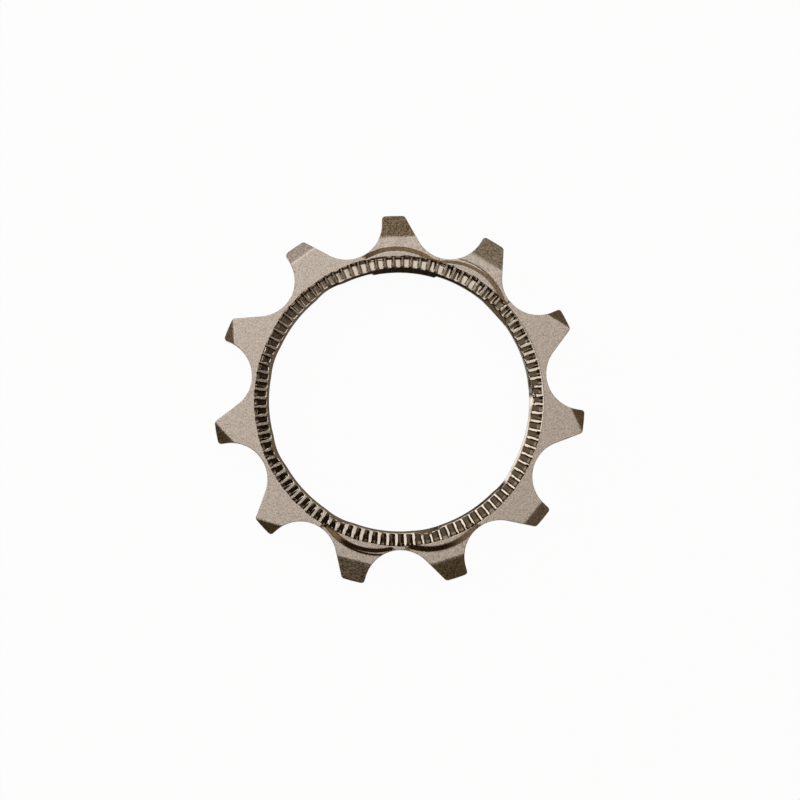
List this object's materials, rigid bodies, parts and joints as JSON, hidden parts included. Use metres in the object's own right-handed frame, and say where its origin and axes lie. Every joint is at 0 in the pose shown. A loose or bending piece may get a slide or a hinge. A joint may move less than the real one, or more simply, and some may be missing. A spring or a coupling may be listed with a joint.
{
  "type": "bicycle cassette sprocket",
  "caption": "Small steel chain sprocket from the outer end of a bicycle cassette, with shift-gate teeth, a serrated lockring seat, a splined bore and a rear spacer collar.",
  "frame": {"origin": "on the bore axis at the rear face of the spacer collar", "axes": "+Z along the bore axis towards the serrated front face, +Y towards the gate tooth that stands uppermost in the picture"},
  "size_m": [0.0463, 0.0461, 0.0039],
  "materials": {
    "steel": "coined steel with a thin satin plating, darker on the facets"
  },
  "bodies": {
    "root": {"sprocket": "steel"}
  },
  "joints": []
}
